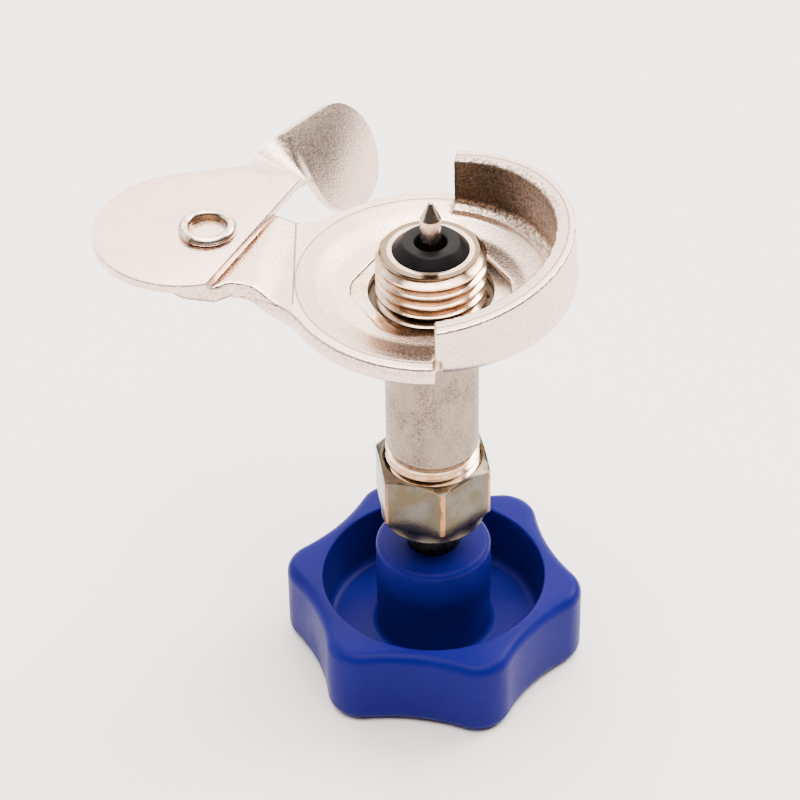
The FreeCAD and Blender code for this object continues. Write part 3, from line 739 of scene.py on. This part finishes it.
TWIST_LENGTH = 5.8
TWIST = math.radians(63.0)
NECK_HALF = 3.7
BLADE_NECK_HALF = 3.45
RIVET_TO_NECK = Vector((14.6, -0.46, 0.0))
LEVER_TURN = Matrix.Rotation(math.radians(60.5), 4, "Z")
SLICE = 0.2
lobe = along(centre=(-15.2, 3.2), radius=11.76, start=41.2, stop=224.5, count=56)
hollow = along(centre=(4.117, -5.25), radius=1.8, start=40.0, stop=3.6, count=6)
blade = along(centre=(13.0, -4.7), radius=7.1, start=183.5, stop=442.2, count=64)
lever_outline = (
    lobe
    + [(0.0, -NECK_HALF), (TWIST_LENGTH, -BLADE_NECK_HALF)]
    + hollow
    + blade
    + [(TWIST_LENGTH, BLADE_NECK_HALF), (0.0, NECK_HALF)]
)
bpy.ops.object.select_all(action="DESELECT")
bpy.ops.mesh.primitive_circle_add(vertices=len(lever_outline), radius=0.01, fill_type="NGON")
lever = bpy.context.object
lever.name = lever.data.name = "lever_stamping"
for vertex, (x, y) in zip(lever.data.vertices, lever_outline):
    vertex.co = (x * MM, y * MM, 0.0)
edit(lever)
for k in range(-2, 34):
    bpy.ops.mesh.select_all(action="SELECT")
    bpy.ops.mesh.bisect(plane_co=(SLICE * k * MM, 0.0, 0.0), plane_no=(1.0, 0.0, 0.0))
bpy.ops.mesh.select_all(action="SELECT")
bpy.ops.mesh.remove_doubles(threshold=WELD * MM)
bpy.ops.mesh.select_all(action="SELECT")
bpy.ops.mesh.normals_make_consistent(inside=False)
done()
sheet = lever.modifiers.new("sheet", "SOLIDIFY")
sheet.thickness = LEVER_SHEET * MM
sheet.offset = 0.0
apply_all(lever)
soften(lever, 0.15, 50.0)
for vertex in lever.data.vertices:
    f = min(max(vertex.co.x / (TWIST_LENGTH * MM), 0.0), 1.0)
    turn = Matrix.Rotation(TWIST * f * f * (3.0 - 2.0 * f), 3, "X")
    vertex.co = turn @ vertex.co
neck = PIVOT + LEVER_TURN @ RIVET_TO_NECK + Vector((0.0, 0.0, LEVER_MIDDLE))
lever.data.transform(Matrix.Translation(neck * MM) @ LEVER_TURN)
smooth(lever, 40.0)
stands_for(lever, "lock_lever", "lever", lever_nickel)

# %% [markdown]
# Rivet, seal and needle are round, so each is spun from half of its section.
# An outline is a list of radius and height, and its heights hang on the top or
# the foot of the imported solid.

# %% Rivet
RIVET_SHANK = 3.0
RIVET_HEAD = 4.4
TONGUE_UNDER = 60.45
foot, top = heights("lever_rivet")
rivet_hollow = [
    (0.0, top - 1.8), (1.2, top - 1.95), (2.0, top - 2.1), (2.25, top - 1.85),
    (RIVET_BORE, top - 0.55),
]
rolled_lip = [
    (2.42, top - 0.23), (2.7, top - 0.03), (3.05, top - 0.01), (3.4, top - 0.17),
    (3.62, top - 0.45), (3.66, top - 0.7), (3.55, top - 0.95), (3.3, top - 1.08),
    (RIVET_SHANK, top - 1.1),
]
rivet_head = [
    (RIVET_SHANK, TONGUE_UNDER), (RIVET_HEAD, TONGUE_UNDER), (RIVET_HEAD, foot + 1.25),
    (4.2, foot + 0.85), (3.5, foot + 0.35), (2.0, foot + 0.05), (0.0, foot + 0.2),
]
rivet = spun("rolled_rivet", rivet_hollow + rolled_lip + rivet_head)
rivet.data.transform(Matrix.Translation(PIVOT * MM))
smooth(rivet, 40.0)
stands_for(rivet, "lever_rivet", "valve", rivet_nickel)

# %% Seal
SEAL_HOLE = 2.0
SEAL_OUTSIDE = 4.78
foot, top = heights("can_seal")
seal_sides = [(SEAL_HOLE, foot), (SEAL_OUTSIDE, foot), (SEAL_OUTSIDE, top - 1.3)]
seal_lip = [
    (4.66, top - 1.14), (3.72, top - 0.2), (3.55, top - 0.06), (3.35, top - 0.01),
    (2.6, top - 0.1), (2.2, top - 0.1), (2.05, top - 0.2), (SEAL_HOLE, top - 0.4),
]
seal = spun("lip_seal", seal_sides + seal_lip)
soften(seal, 0.08, 30.0)
smooth(seal, 45.0)
stands_for(seal, "can_seal", "valve", seal_rubber)

# %% Needle
NEEDLE_RADIUS = 1.3
foot, tip = heights("piercing_needle")
needle_rod = [(0.0, foot + 0.01), (NEEDLE_RADIUS, foot + 0.01), (NEEDLE_RADIUS, tip - 2.35)]
needle_point = [(1.24, tip - 2.24), (0.28, tip - 0.12), (0.16, tip - 0.02), (0.0, tip)]
needle = spun("ground_needle", needle_rod + needle_point, steps=64)
smooth(needle, 25.0)
stands_for(needle, "piercing_needle", "needle", needle_steel)

# %% [markdown]
# The knob is a moulding. Its two mould halves meet at one height, which
# leaves a fine raised line round the outside. Three cuts make the line's foot,
# ridge and foot, and the ridge is then pushed out.

# %% Knob
PARTING_HEIGHT = 4.63
PARTING_HALF = 0.08
PARTING_RISE = 1.004
CUP_WALL_REACH = 15.5
knob = copy_of("handwheel", "moulded_knob")
edit(knob)
for step in (-PARTING_HALF, 0.0, PARTING_HALF):
    height = (PARTING_HEIGHT + step) * MM
    bpy.ops.mesh.select_all(action="SELECT")
    bpy.ops.mesh.bisect(plane_co=(0.0, 0.0, height), plane_no=(0.0, 0.0, 1.0))
done()
for vertex in knob.data.vertices:
    x, y, z = vertex.co / MM
    if abs(z - PARTING_HEIGHT) < 0.01 and math.hypot(x, y) > CUP_WALL_REACH:
        vertex.co.x *= PARTING_RISE
        vertex.co.y *= PARTING_RISE
smooth(knob, 32.0)
stands_for(knob, "handwheel", "knob", blue_plastic)

# %% Inner parts and the rod keep their solids
for name, finish in {
    "spindle": spindle_shadow_black,
    "gland_follower": gland_brass,
    "stem_packing": packing,
    "packing_washer": gland_brass,
    "pivot_washer": washer_steel,
}.items():
    dress(NODES[name], finish)

# %% [markdown]
# The floor is pale, and there are no lamps: metal shows what it reflects, so
# the sky itself is painted. It is dim all over, with soft round panels of
# light behind and above the tap. What faces the camera side reflects the dim
# part, and that gives the dark sides of the stem, the nut and the wall.

# %% Floor
FLOOR_SIZE = 6.0
bpy.ops.object.select_all(action="DESELECT")
bpy.ops.mesh.primitive_plane_add(size=FLOOR_SIZE, location=(0.0, 0.0, 0.0))
floor = bpy.context.object
floor.name = "floor"
dress(floor, Finish("white_paper", (0.93, 0.93, 0.93), 0.7))
print("floor", FLOOR_SIZE, "m wide")

# %% Light
world = bpy.data.worlds.new("studio")
bpy.context.scene.world = world
world.use_nodes = True
sky = world.node_tree
background = sky.nodes["Background"]
WARM_WHITE = (1.0, 0.91, 0.83, 1.0)
background.inputs["Color"].default_value = WARM_WHITE
direction = sky.nodes.new("ShaderNodeTexCoord")
split = sky.nodes.new("ShaderNodeSeparateXYZ")
sky.links.new(direction.outputs["Generated"], split.inputs[0])
right, back, up = (Wire(sky, split.outputs[k]) for k in range(3))


def panel(toward, inner, outer, level):
    """A round soft panel: where it is, full and faded angles in degrees, light."""
    aim = Vector(toward).normalized()
    near = right * aim.x + back * aim.y + up * aim.z
    return near.band(math.cos(math.radians(outer)), math.cos(math.radians(inner))) * level


DIM_SKY = 0.14
light = (
    DIM_SKY
    + panel(toward=(0.0, 0.777, 0.629), inner=22.0, outer=46.0, level=6.0)
    + panel(toward=(0.66, 0.40, 0.63), inner=8.0, outer=20.0, level=18.0)
    + panel(toward=(0.0, -0.05, 1.0), inner=18.0, outer=34.0, level=12.0)
    + panel(toward=(-0.9, 0.3, 0.35), inner=10.0, outer=40.0, level=2.5)
)
sky.links.new(light.socket, background.inputs["Strength"])
print("sky of", len(sky.nodes), "nodes")
